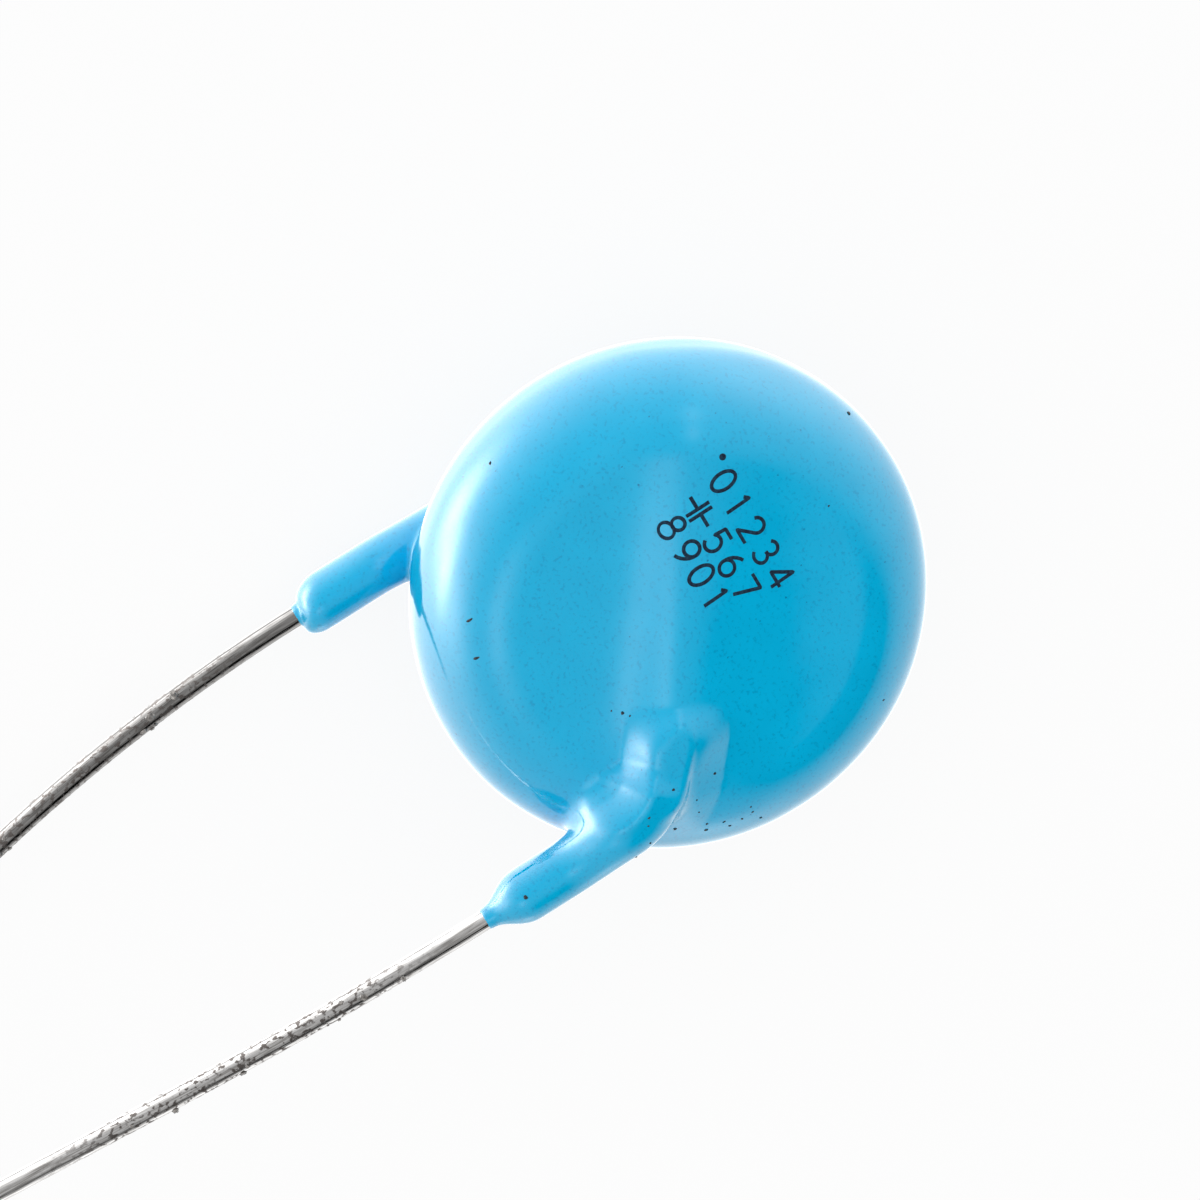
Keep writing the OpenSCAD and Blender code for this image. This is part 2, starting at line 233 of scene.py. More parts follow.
bank = f("ADD", f("MULTIPLY", f("MULTIPLY", stands, inner), size["Inner bank"]),
         f("MULTIPLY", f("MULTIPLY", shoulder, outer), size["Outer bank"]))

# The dipped disc: its face falls a little towards the edge and carries the ridge and the banks
radius = length(qx, py)
fall = f("MULTIPLY", f("POWER", f("DIVIDE", radius, size["Disc radius"]), 2.0), size["Face fall"])
raised = blended(f("ADD", ridge, bank), size["Tallest"], size["Tallest blend"])
face = f("ADD", f("SUBTRACT", size["Half thickness"], fall), raised)
over_rim = f("SUBTRACT", radius, f("SUBTRACT", size["Disc radius"], size["Edge rounding"]))
over_face = f("SUBTRACT", qz, f("SUBTRACT", face, size["Edge rounding"]))
outside = length(f("MAXIMUM", over_rim, 0.0), f("MAXIMUM", over_face, 0.0))
inside = f("MINIMUM", f("MAXIMUM", over_rim, over_face), 0.0)
disc = f("SUBTRACT", f("ADD", outside, inside), size["Edge rounding"])

# The resin round a lead narrows to the wire at its tip, aslant at the back lead, swells and rises
# at the bend, and sinks into the face along the inner leg
rise = eased(f("ADD", 1.0, f("DIVIDE", run, size["Root swell"])))
sink = over(f("SUBTRACT", run, bend_run), size["Root hold"], size["Root sink"])
along = f("SUBTRACT", py, size["Sleeve end y"])
thin = f("ADD", size["Wire radius"], size["Film on wire"])
share = f("SUBTRACT", 1.0, clamped(f("DIVIDE", along, size["Front taper"]), 0.0, 1.0))
front_tip = f("SUBTRACT", 1.0, f("MULTIPLY", f("POWER", share, 3.0),
                                 f("SUBTRACT", 4.0, f("MULTIPLY", share, 3.0))))
aslant = f("SUBTRACT", along, f("MULTIPLY", size["Back slant"], from_x))
share = f("SUBTRACT", 1.0, clamped(f("DIVIDE", aslant, size["Back taper"]), 0.0, 1.0))
back_tip = f("SQRT", f("SUBTRACT", 1.0, f("MULTIPLY", share, share)))
sleeve_radius = f("ADD", thin, f("MULTIPLY", f("SUBTRACT", size["Sleeve radius"], thin),
                                 either(back, back_tip, front_tip)))
reach = f("SUBTRACT", either(rise, size["Root radius"], sleeve_radius),
          f("MULTIPLY", f("MULTIPLY", size["Root radius"], size["Root slimming"]), sink))
axis_z = f("ADD", size["Wire height"],
           f("MULTIPLY", size["Root lift"], f("MULTIPLY", rise, f("SUBTRACT", 1.0, sink))))
inward = f("MULTIPLY", size["Root shift"], f("MULTIPLY", rise, f("SUBTRACT", 1.0, sink)))
beside = f("ABSOLUTE", f("ADD", f("MULTIPLY", away, f("SIGN", outward)), inward))
around = f("SUBTRACT", length(beside, f("SUBTRACT", qz, axis_z)), reach)

# A straight flank fills the crease on the inner side of the root
flank = f("MULTIPLY",
          f("SUBTRACT", 1.0, over(outward, size["Flank offset"], size["Flank width"])),
          within(run, size["Flank start"], size["Flank ease"], size["Flank end"],
                 size["Flank ease"]))
banked = f("MULTIPLY", f("SUBTRACT", f("ADD", disc, around), f("MULTIPLY", flank, size["Flank"])),
           0.7071)
whole = blended(blended(disc, around, size["Crease"]), banked, size["Flank blend"])

# Cured resin is never quite even
swell = form.nodes.new("ShaderNodeTexNoise")
swell.inputs["Scale"].default_value = 0.42
swell.inputs["Detail"].default_value = 1.0
form.links.new(size["Point"], swell.inputs["Vector"])
whole = f("ADD", whole, f("MULTIPLY", f("SUBTRACT", swell.outputs[0], 0.45), size["Unevenness"]))
form.links.new(whole, form_result)

# The skin is first meshed from a grid of cells and then drawn onto the form in three steps
skin, skin_in, skin_result = node_group("dipped_coating", {
    "Geometry": "Geometry", "Disc centre height": disc_z * 1000, "Cells per mm": 9.0,
    "Material": "Material"})
s = lambda operation, *values: calc(skin, operation, *values)
w = lambda operation, *values, out=0: calc(skin, operation, *values, vector=True, out=out)


def distance_at(point):
    """The resin's distance, in mm, at a point in metres."""
    g = skin.nodes.new("GeometryNodeGroup")
    g.node_tree = form
    centre = joined(skin, 0.0, 0.0, skin_in["Disc centre height"])
    skin.links.new(w("SUBTRACT", w("MULTIPLY", point, (1000, 1000, 1000)), centre),
                   g.inputs["Point"])
    return g.outputs["Distance"]


here = skin.nodes.new("GeometryNodeInputPosition").outputs[0]
low = (-8.6, -10.6, -4.5)
high = (8.6, 8.6, 4.5)
cube = skin.nodes.new("GeometryNodeVolumeCube")
skin.links.new(s("SUBTRACT", 1.0, distance_at(here)), cube.inputs["Density"])
cube.inputs["Background"].default_value = 0.0
for end, corner_of_grid in (("Min", low), ("Max", high)):
    cube.inputs[end].default_value = [c / 1000 + (disc_z if i == 2 else 0)
                                      for i, c in enumerate(corner_of_grid)]
for axis, a, b in zip("XYZ", low, high):
    cells = skin.nodes.new("FunctionNodeFloatToInt")
    skin.links.new(s("MULTIPLY", skin_in["Cells per mm"], b - a), cells.inputs[0])
    skin.links.new(cells.outputs[0], cube.inputs["Resolution " + axis])
mesher = skin.nodes.new("GeometryNodeVolumeToMesh")
mesher.inputs["Threshold"].default_value = 1.0
skin.links.new(cube.outputs[0], mesher.inputs[0])
flow = mesher.outputs[0]
for _ in range(3):
    step = 2e-5
    value = distance_at(here)
    rises = [s("DIVIDE", s("SUBTRACT", distance_at(w("ADD", here, off)), value), step * 1000)
             for off in ((step, 0, 0), (0, step, 0), (0, 0, step))]
    slope = joined(skin, *rises)
    scale = w("SCALE", slope)
    scale.node.inputs["Scale"].default_value = 1.0
    skin.links.new(s("DIVIDE", s("MULTIPLY", value, -0.001),
                     s("MAXIMUM", w("DOT_PRODUCT", slope, slope, out=1), 0.2)),
                   scale.node.inputs["Scale"])
    mover = skin.nodes.new("GeometryNodeSetPosition")
    skin.links.new(flow, mover.inputs["Geometry"])
    skin.links.new(scale, mover.inputs["Offset"])
    flow = mover.outputs[0]
smooth = skin.nodes.new("GeometryNodeSetShadeSmooth")
skin.links.new(flow, smooth.inputs["Geometry"])
paint = skin.nodes.new("GeometryNodeSetMaterial")
skin.links.new(smooth.outputs[0], paint.inputs["Geometry"])
skin.links.new(skin_in["Material"], paint.inputs["Material"])
skin.links.new(paint.outputs[0], skin_result)


def surface(title, **values):
    """A new material, with its nodes, its links and the inputs of its shader."""
    material = bpy.data.materials.new(title)
    material.use_nodes = True
    nodes = material.node_tree.nodes
    shader = nodes["Principled BSDF"].inputs
    for name, value in values.items():
        shader[name.replace("_", " ")].default_value = value
    return material, nodes, material.node_tree.links, shader


def noise(nodes, links, vector, scale, detail):
    """Noise at a place, from 0 to 1."""
    n = nodes.new("ShaderNodeTexNoise")
    n.inputs["Scale"].default_value = scale
    n.inputs["Detail"].default_value = detail
    links.new(vector, n.inputs["Vector"])
    return n.outputs["Fac"]


def ramp(nodes, links, value, *stops):
    """A colour for each value, from stops of a position and a colour."""
    n = nodes.new("ShaderNodeValToRGB")
    for at_stop, (place, colour) in enumerate(stops):
        stop = n.color_ramp.elements[at_stop] if at_stop < 2 else n.color_ramp.elements.new(place)
        stop.position, stop.color = place, (*colour, 1)
    links.new(value, n.inputs["Fac"])
    return n.outputs["Color"]


def mixed(nodes, links, kind, factor, a, b):
    """One colour laid on another."""
    n = nodes.new("ShaderNodeMix")
    n.data_type, n.blend_type = "RGBA", kind
    n.inputs[0].default_value = factor
    for socket, value in ((n.inputs[6], a), (n.inputs[7], b)):
        if isinstance(value, bpy.types.NodeSocket):
            links.new(value, socket)
        else:
            socket.default_value = value
    return n.outputs[2]


# Light blue resin, glossy, with fine darker grains of pigment, cloudy patches and a faint ripple
resin, rn, rl, coat = surface("blue_resin", Roughness=0.09, IOR=1.5)
place = rn.new("ShaderNodeTexCoord").outputs["Object"]
grains = ramp(rn, rl, noise(rn, rl, place, 9000.0, 2.0), (0.30, (0.0, 0.33, 0.59)),
              (0.44, (0.0, 0.415, 0.70)))
clouds = ramp(rn, rl, noise(rn, rl, place, 700.0, 3.0), (0.35, (0.95, 0.95, 0.96)),
              (0.65, (1.0, 1.0, 1.0)))
flecks = ramp(rn, rl, noise(rn, rl, place, 5200.0, 1.0), (0.20, (0.35, 0.5, 0.58)),
              (0.22, (1.0, 1.0, 1.0)))
tint = mixed(rn, rl, "MULTIPLY", 1.0, mixed(rn, rl, "MULTIPLY", 1.0, grains, clouds), flecks)
rl.new(tint, coat["Base Color"])


def bumped(nodes, links, shader, height, strength, depth):
    """Lets a height, with its full depth in metres, turn the surface."""
    n = nodes.new("ShaderNodeBump")
    n.inputs["Strength"].default_value = strength
    n.inputs["Distance"].default_value = depth
    links.new(height, n.inputs["Height"])
    links.new(n.outputs["Normal"], shader["Normal"])


bumped(rn, rl, coat, noise(rn, rl, place, 4200.0, 3.0), 0.10, 0.00002)


def modelled(title, group, values, source=None, layers=True):
    """The plain mesh that a node group makes of these inputs, as an object of its own."""
    host = bpy.data.objects.new(title + "_host", source or bpy.data.meshes.new(title + "_seed"))
    bpy.context.scene.collection.objects.link(host)
    maker = host.modifiers.new("maker", "NODES")
    maker.node_group = group
    keys = {i.name: i.identifier for i in group.interface.items_tree if i.in_out == "INPUT"}
    for name, value in values.items():
        maker[keys[name]] = value
    graph = bpy.context.evaluated_depsgraph_get()
    mesh = bpy.data.meshes.new_from_object(host.evaluated_get(graph), depsgraph=graph,
                                           preserve_all_data_layers=layers)
    bpy.data.objects.remove(host)
    piece = bpy.data.objects.new(title, mesh)
    bpy.context.scene.collection.objects.link(piece)
    return piece


coating = modelled("resin_coating", skin, {
    "Disc centre height": disc_z * 1000, "Cells per mm": 9.0, "Material": resin})
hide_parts("coating")
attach(coating, "root")

# ---------------------------------------------------------------------------------------------
# Leads. Each is one length of tinned copper wire. The inner leg lies across its electrode, a bend
# brings the wire round to run square to the other lead, and outside the resin it was bowed a
# little by handling. The path's heading turns at a steady rate in each bend.

wire, n, wire_result = node_group("bent_wire", {
    "Geometry": "Geometry", "Leg length": 1.0, "Bend radius": 1.0, "Bend angle": 1.0,
    "Root length": 1.0, "Bow radius": 1.0, "Bow angle": 1.0, "End length": 1.0,
    "Wire radius": wire_radius, "Dirt start": 1.0, "Dirt end": 2.0, "Dirt ease": 3.0,
    "Dullness": 0.5, "Start": "Vector", "Material": "Material"})
m = lambda operation, *values: calc(wire, operation, *values)
held = lambda value, low, high: m("MINIMUM", m("MAXIMUM", value, low), high)

# Arc length at which each stretch ends, and the length of one step
steps = 900
bend_run = m("MULTIPLY", n["Bend radius"], n["Bend angle"])
bow_run = m("MULTIPLY", n["Bow radius"], n["Bow angle"])
bow_start = m("ADD", m("ADD", n["Leg length"], bend_run), n["Root length"])
total = m("ADD", m("ADD", bow_start, bow_run), n["End length"])
step_length = m("DIVIDE", total, float(steps))
number = wire.nodes.new("GeometryNodeInputIndex").outputs[0]
half_way = m("MULTIPLY", m("SUBTRACT", number, 0.5), step_length)
bent = held(m("SUBTRACT", half_way, n["Leg length"]), 0.0, bend_run)
bowed = held(m("SUBTRACT", half_way, bow_start), 0.0, bow_run)
in_leg = m("SUBTRACT", n["Bend angle"], m("DIVIDE", bent, n["Bend radius"]))
in_bow = m("DIVIDE", bowed, n["Bow radius"])
step_x = m("MULTIPLY", m("SUBTRACT", m("SINE", in_leg), m("SINE", in_bow)), step_length)
step_y = m("MULTIPLY", m("MULTIPLY", m("COSINE", m("ADD", in_leg, in_bow)), -1.0), step_length)
moved = m("GREATER_THAN", number, 0.5)
gather = wire.nodes.new("GeometryNodeAccumulateField")
gather.data_type = "FLOAT_VECTOR"
wire.links.new(joined(wire, m("MULTIPLY", step_x, moved), m("MULTIPLY", step_y, moved), 0.0),
               gather.inputs["Value"])
line = wire.nodes.new("GeometryNodeCurvePrimitiveLine")
thread = wire.nodes.new("GeometryNodeResampleCurve")
thread.inputs["Count"].default_value = steps + 1
wire.links.new(line.outputs[0], thread.inputs["Curve"])
laid = wire.nodes.new("GeometryNodeSetPosition")
wire.links.new(thread.outputs[0], laid.inputs["Geometry"])
total_move = calc(wire, "MULTIPLY", calc(wire, "ADD", n["Start"], gather.outputs["Leading"],
                                         vector=True), (0.001, 0.001, 0.001), vector=True)
wire.links.new(total_move, laid.inputs["Position"])
beyond = m("SUBTRACT", m("MULTIPLY", number, step_length), bow_start)
dirty = m("MULTIPLY",
          held(m("DIVIDE", m("SUBTRACT", beyond, n["Dirt start"]), n["Dirt ease"]), 0.0, 1.0),
          held(m("DIVIDE", m("SUBTRACT", n["Dirt end"], beyond), n["Dirt ease"]), 0.0, 1.0))


def stored(name, kind, geometry, value):
    """Keeps a value on the points of a geometry, under a name that the material reads."""
    keep = wire.nodes.new("GeometryNodeStoreNamedAttribute")
    keep.data_type = kind
    keep.inputs["Name"].default_value = name
    wire.links.new(geometry, keep.inputs["Geometry"])
    wire.links.new(value, keep.inputs["Value"])
    return keep.outputs[0]


path = stored("dirt", "FLOAT", stored("beyond_sleeve", "FLOAT", laid.outputs[0], beyond), dirty)
path = stored("dullness", "FLOAT", path, n["Dullness"])
ring = wire.nodes.new("GeometryNodeCurvePrimitiveCircle")
ring.inputs["Resolution"].default_value = 48
wire.links.new(m("MULTIPLY", n["Wire radius"], 0.001), ring.inputs["Radius"])
here = wire.nodes.new("GeometryNodeInputPosition").outputs[0]
profile = stored("around", "FLOAT_VECTOR", ring.outputs[0],
                 calc(wire, "NORMALIZE", here, vector=True))
sweep = wire.nodes.new("GeometryNodeCurveToMesh")
sweep.inputs["Fill Caps"].default_value = True
wire.links.new(path, sweep.inputs["Curve"])
wire.links.new(profile, sweep.inputs["Profile Curve"])
tinning = wire.nodes.new("GeometryNodeSetMaterial")
wire.links.new(sweep.outputs[0], tinning.inputs["Geometry"])
wire.links.new(n["Material"], tinning.inputs["Material"])
wire.links.new(tinning.outputs[0], wire_result)

# Bright tin, drawn into fine streaks along the wire, with painted shade in dark lines along its
# upper and its lower edge as seen from the camera, greyed all over, the back lead more than the
# front, and stained where it met the solder
tin, tn, tl, metal = surface("tinned_wire", Metallic=1.0)
upper_side = (-0.928, 0.0, -0.374)


def attribute(nodes, name):
    """Reads a value that was kept on the wire."""
    reader = nodes.new("ShaderNodeAttribute")
    reader.attribute_name = name
    return reader


run_mm, round_it = attribute(tn, "beyond_sleeve"), attribute(tn, "around")
stain = attribute(tn, "dirt").outputs["Fac"]
t = lambda operation, *values, vector=False: calc(tin.node_tree, operation, *values, vector=vector)
streaky = t("ADD", t("MULTIPLY", round_it.outputs["Vector"], (7.0, 7.0, 7.0), vector=True),
            joined(tin.node_tree, 0.0, 0.0, t("MULTIPLY", run_mm.outputs["Fac"], 1.1)), vector=True)
blotchy = t("ADD", round_it.outputs["Vector"],
            joined(tin.node_tree, 0.0, 0.0, t("MULTIPLY", run_mm.outputs["Fac"], 2.2)), vector=True)
streaks = ramp(tn, tl, noise(tn, tl, streaky, 1.0, 4.0), (0.36, (0.42, 0.41, 0.40)),
               (0.47, (0.66, 0.655, 0.65)), (0.60, (0.84, 0.84, 0.84)))
greyed = ramp(tn, tl, attribute(tn, "dullness").outputs["Fac"], (0.0, (1.0, 0.99, 0.98)),
              (1.0, (0.27, 0.265, 0.26)))
side_face = tn.new("ShaderNodeTexCoord").outputs["Normal"]
# Painted shade: dark lines along both edges of the wire as seen from the camera, where its side
# turns away
across_wire = calc(tin.node_tree, "DOT_PRODUCT", side_face, upper_side, vector=True, out=1)
painted_edge_shade = ramp(tn, tl, t("ADD", 0.5, t("MULTIPLY", across_wire, 0.5)), (0.0, (0.30, 0.29, 0.28)),
                (0.06, (1.0, 1.0, 1.0)), (0.86, (1.0, 1.0, 1.0)), (0.885, (0.30, 0.30, 0.30)),
                (0.93, (0.34, 0.34, 0.34)), (0.955, (0.9, 0.9, 0.9)))
tinned = mixed(tn, tl, "MULTIPLY", 1.0, mixed(tn, tl, "MULTIPLY", 1.0, streaks, greyed), painted_edge_shade)
blotch = noise(tn, tl, blotchy, 2.3, 4.0)
edged = t("MULTIPLY", t("SUBTRACT", blotch, 0.52), 14.0)
burnt = t("MULTIPLY", t("MINIMUM", t("MAXIMUM", edged, 0.0), 1.0), stain)
dull = tn.new("ShaderNodeMix")
dull.data_type = "RGBA"
tl.new(burnt, dull.inputs[0])
tl.new(tinned, dull.inputs[6])
dull.inputs[7].default_value = (0.10, 0.09, 0.085, 1)
tl.new(dull.outputs[2], metal["Base Color"])
tl.new(t("ADD", 0.10, t("MULTIPLY", burnt, 0.35)), metal["Roughness"])
bumped(tn, tl, metal, noise(tn, tl, streaky, 0.8, 3.0), 0.25, 0.00003)

wires, lead_length, sleeve_run = {}, 26, 1.9
for node, bow, bow_radius, dirt_start, dirt_end, dullness in (
        ("front_lead", 4.4, 142.0, 1.5, 16.5, 0.35), ("back_lead", 13.2, 57.0, 1.0, 19.0, 0.9)):
    lead = modelled(node.replace("lead", "wire"), wire, {
        "Leg length": (leg_end - leg_start).length, "Bend radius": bend_radius,
        "Bend angle": leg_angle, "Root length": form_sizes["Bend y"] - form_sizes["Sleeve end y"],
        "Bow radius": bow_radius, "Bow angle": math.radians(bow), "Wire radius": wire_radius,
        "End length": lead_length - sleeve_run - bow_radius * math.radians(bow),
        "Dirt start": dirt_start, "Dirt end": dirt_end, "Dirt ease": 3.0, "Dullness": dullness,
        "Start": (leg_end.x, leg_end.y, form_sizes["Wire height"]), "Material": tin})
    for point in lead.data.vertices:
        if node == "back_lead":
            point.co.x, point.co.z = -point.co.x, -point.co.z
        point.co.z += disc_z
    lead.data.shade_smooth()
    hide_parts(node)
    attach(lead, "root")
    wires[node] = lead

# ---------------------------------------------------------------------------------------------
# Dirt on the leads. Burnt flux and solder dross cling to the tin in small hard crumbs, thickest
# some way from the resin, where the wire was soldered before.

crumbs, crumbs_in, crumbs_result = node_group("flux_crumbs", {
    "Geometry": "Geometry", "Wire": "Object", "Crumbs per mm2": "Float", "Largest": "Float",
    "Smallest share": 0.28, "Seed": "Int", "Material": "Material"})
c = lambda operation, *values, vector=False: calc(crumbs, operation, *values, vector=vector)
source = crumbs.nodes.new("GeometryNodeObjectInfo")
crumbs.links.new(crumbs_in["Wire"], source.inputs["Object"])


def named(name):
    """Reads a value that was kept on the wire."""
    reader = crumbs.nodes.new("GeometryNodeInputNamedAttribute")
    reader.data_type = "FLOAT"
    reader.inputs["Name"].default_value = name
    return reader.outputs["Attribute"]


clump = crumbs.nodes.new("ShaderNodeTexNoise")
clump.inputs["Scale"].default_value = 900.0
clump.inputs["Detail"].default_value = 2.0
crumbs.links.new(crumbs.nodes.new("GeometryNodeInputPosition").outputs[0], clump.inputs["Vector"])
clumped = c("MULTIPLY", c("SUBTRACT", clump.outputs[0], 0.54), 9.0)
gathered = c("MINIMUM", c("MAXIMUM", clumped, 0.04), 1.0)
outward_way = crumbs.nodes.new("GeometryNodeInputNormal").outputs[0]
soiled_side = (-0.374, -0.027, 0.927)
faces_up = calc(crumbs, "DOT_PRODUCT", outward_way, soiled_side, vector=True, out=1)
faces_in = calc(crumbs, "DOT_PRODUCT", outward_way, upper_side, vector=True, out=1)
bare = c("MULTIPLY", c("GREATER_THAN", named("beyond_sleeve"), 0.5),
         c("MULTIPLY", c("GREATER_THAN", faces_up, 0.05), c("LESS_THAN", faces_in, 0.45)))
amount = c("MULTIPLY", c("MULTIPLY", c("ADD", named("dirt"), 0.03), gathered), bare)
sown = crumbs.nodes.new("GeometryNodeDistributePointsOnFaces")
crumbs.links.new(source.outputs["Geometry"], sown.inputs["Mesh"])
crumbs.links.new(c("MULTIPLY", c("MULTIPLY", amount, crumbs_in["Crumbs per mm2"]), 1e6),
                 sown.inputs["Density"])
crumbs.links.new(crumbs_in["Seed"], sown.inputs["Seed"])
ball = crumbs.nodes.new("GeometryNodeMeshIcoSphere")
ball.inputs["Radius"].default_value = 1.0
ball.inputs["Subdivisions"].default_value = 3
lump = crumbs.nodes.new("ShaderNodeTexNoise")
lump.inputs["Scale"].default_value = 1.3
lump.inputs["Detail"].default_value = 2.0
crumbs.links.new(crumbs.nodes.new("GeometryNodeInputPosition").outputs[0], lump.inputs["Vector"])
knobby = crumbs.nodes.new("GeometryNodeSetPosition")
crumbs.links.new(ball.outputs["Mesh"], knobby.inputs["Geometry"])
out_by = crumbs.nodes.new("ShaderNodeVectorMath")
out_by.operation = "SCALE"
crumbs.links.new(crumbs.nodes.new("GeometryNodeInputNormal").outputs[0], out_by.inputs[0])
crumbs.links.new(c("MULTIPLY", c("SUBTRACT", lump.outputs[0], 0.5), 1.6), out_by.inputs["Scale"])
crumbs.links.new(out_by.outputs[0], knobby.inputs["Offset"])


def chance(lowest, highest, seed, kind="FLOAT"):
    """A random number or vector for each crumb."""
    draw = crumbs.nodes.new("FunctionNodeRandomValue")
    draw.data_type = kind
    first = 0 if kind == "FLOAT_VECTOR" else 2
    draw.inputs[first].default_value, draw.inputs[first + 1].default_value = lowest, highest
    draw.inputs["Seed"].default_value = seed
    return draw.outputs[0 if kind == "FLOAT_VECTOR" else 1]


stood = crumbs.nodes.new("GeometryNodeInstanceOnPoints")
crumbs.links.new(sown.outputs["Points"], stood.inputs["Points"])
crumbs.links.new(knobby.outputs[0], stood.inputs["Instance"])
crumbs.links.new(sown.outputs["Rotation"], stood.inputs["Rotation"])
big = c("MULTIPLY", c("MULTIPLY", c("ADD", crumbs_in["Smallest share"],
                                    c("POWER", chance(0.0, 1.0, 5), 3.0)),
                      crumbs_in["Largest"]), 0.001)
crumbs.links.new(calc(crumbs, "MULTIPLY", joined(crumbs, big, big, big),
                      chance((0.6, 0.6, 0.45), (1.25, 1.25, 0.8), 7, "FLOAT_VECTOR"), vector=True),
                 stood.inputs["Scale"])
real = crumbs.nodes.new("GeometryNodeRealizeInstances")
crumbs.links.new(stood.outputs[0], real.inputs[0])
soot = crumbs.nodes.new("GeometryNodeSetMaterial")
crumbs.links.new(real.outputs[0], soot.inputs["Geometry"])
crumbs.links.new(crumbs_in["Material"], soot.inputs["Material"])
crumbs.links.new(soot.outputs[0], crumbs_result)


def mottled(nodes, links, shader, scale, dark, pale):
    """Colours a material by noise in the object's own space, from one stop to the other."""
    where = nodes.new("ShaderNodeTexCoord").outputs["Object"]
    links.new(ramp(nodes, links, noise(nodes, links, where, scale, 3.0), dark, pale),
              shader["Base Color"])


dross, dn, dl, crust = surface("burnt_flux", Roughness=0.32)
mottled(dn, dl, crust, 6000.0, (0.40, (0.035, 0.032, 0.030)), (0.66, (0.30, 0.28, 0.26)))
for node, per_mm2, largest, seed in (("front_lead", 4.5, 0.12, 11), ("back_lead", 4.5, 0.17, 4)):
    dirt = modelled(node.replace("lead", "dirt"), crumbs, {
        "Wire": wires[node], "Crumbs per mm2": per_mm2, "Largest": largest,
        "Smallest share": 0.28, "Seed": seed, "Material": dross}, layers=False)
    dirt.data.shade_smooth()
    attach(dirt, "root")

# ---------------------------------------------------------------------------------------------
# Element inside the resin: the fired ceramic disc, a silver film on each face and the solder that
# holds each leg down. None of it shows once the part is dipped; the solids stay as they are.

def graded(title, scale, dark, pale, roughness, metallic=0.0):
    """A material for a hidden piece, mottled and slightly uneven."""
    material, nodes, links, shader = surface(title, Roughness=roughness, Metallic=metallic)
    spot = nodes.new("ShaderNodeTexCoord").outputs["Object"]
    fine = noise(nodes, links, spot, scale, 5.0)
    links.new(ramp(nodes, links, fine, (0.35, dark), (0.65, pale)), shader["Base Color"])
    bumped(nodes, links, shader, fine, 0.3, 0.00004)
    return material


fired = graded("fired_ceramic", 6000.0, (0.62, 0.50, 0.36), (0.74, 0.63, 0.48), 0.7)
silver = graded("fired_silver", 9000.0, (0.62, 0.62, 0.60), (0.80, 0.80, 0.78), 0.5, 1.0)
solder = graded("solder", 1500.0, (0.42, 0.43, 0.45), (0.68, 0.69, 0.71), 0.28, 1.0)
for node, material in (("ceramic_disc", fired), ("front_electrode", silver),
                       ("back_electrode", silver), ("front_solder_joint", solder),
                       ("back_solder_joint", solder)):
    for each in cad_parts[node].material_slots:
        each.material = material

# ---------------------------------------------------------------------------------------------
# Camera: a long lens, 22 degrees off the axis of the disc, rolled so the leads run to lower left

target = Vector((0, 0, disc_z))
tilt, swing, roll = math.radians(22), math.radians(4.2), math.radians(32)
field, distance, aside, below = 0.0375, 0.30, 0.002147, 0.00019
toward = Vector((-math.sin(tilt) * math.cos(swing), -math.sin(tilt) * math.sin(swing),
                 math.cos(tilt)))
lead_way = Vector((0, 1, 0))
lead_way = (lead_way - toward * lead_way.dot(toward)).normalized()
across = lead_way.cross(toward)
right = lead_way * math.cos(roll) + across * math.sin(roll)
up = lead_way * math.sin(roll) - across * math.cos(roll)
eye = bpy.data.cameras.new("camera")
eye.sensor_width = 36
eye.lens = eye.sensor_width * distance / field
eye.clip_start, eye.clip_end = 0.01, 10
camera = bpy.data.objects.new("camera", eye)
camera.location = target - right * aside - up * below + toward * distance
camera.rotation_euler = Matrix((right, up, toward)).transposed().to_euler()
bpy.context.scene.collection.objects.link(camera)
bpy.context.scene.camera = camera

# ---------------------------------------------------------------------------------------------
# Print. A thin line of dark blue ink from an ink-jet or pad, in three short rows across the front
# face, with the mark of a capacitor before the second. It follows the face of the resin.

ink_lines, ink_in, ink_result = node_group("ink_lines", {
    "Geometry": "Geometry", "Face": "Object", "Line width": "Float", "Material": "Material"})
k = lambda operation, *values, vector=False: calc(ink_lines, operation, *values, vector=vector)
drawn = ink_lines.nodes.new("GeometryNodeMeshToCurve")
ink_lines.links.new(ink_in["Geometry"], drawn.inputs["Mesh"])
even = ink_lines.nodes.new("GeometryNodeResampleCurve")
even.mode = "LENGTH"
even.inputs["Length"].default_value = 0.00002
ink_lines.links.new(drawn.outputs[0], even.inputs["Curve"])
face_of = ink_lines.nodes.new("GeometryNodeObjectInfo")
ink_lines.links.new(ink_in["Face"], face_of.inputs["Object"])
fallen = ink_lines.nodes.new("GeometryNodeRaycast")
ink_lines.links.new(face_of.outputs["Geometry"], fallen.inputs["Target Geometry"])
fallen.inputs["Ray Direction"].default_value = (0, 0, -1)
fallen.inputs["Ray Length"].default_value = 0.05
laid_on = ink_lines.nodes.new("GeometryNodeSetPosition")
ink_lines.links.new(even.outputs[0], laid_on.inputs["Geometry"])
ink_lines.links.new(fallen.outputs["Hit Position"], laid_on.inputs["Position"])
upright = ink_lines.nodes.new("GeometryNodeSetCurveNormal")
upright.mode = "Z_UP"
ink_lines.links.new(laid_on.outputs[0], upright.inputs["Curve"])
along_line = ink_lines.nodes.new("GeometryNodeSplineParameter").outputs["Length"]
line_length = ink_lines.nodes.new("GeometryNodeSplineLength").outputs["Length"]
to_end = k("MINIMUM", along_line, k("SUBTRACT", line_length, along_line))
half_width = k("MULTIPLY", ink_in["Line width"], 0.5)
near_end = k("SUBTRACT", 1.0, k("MINIMUM", k("DIVIDE", to_end, half_width), 1.0))
round_end = k("MAXIMUM", k("SUBTRACT", 1.0, k("MULTIPLY", near_end, near_end)), 0.01)
rounded = ink_lines.nodes.new("GeometryNodeSetCurveRadius")
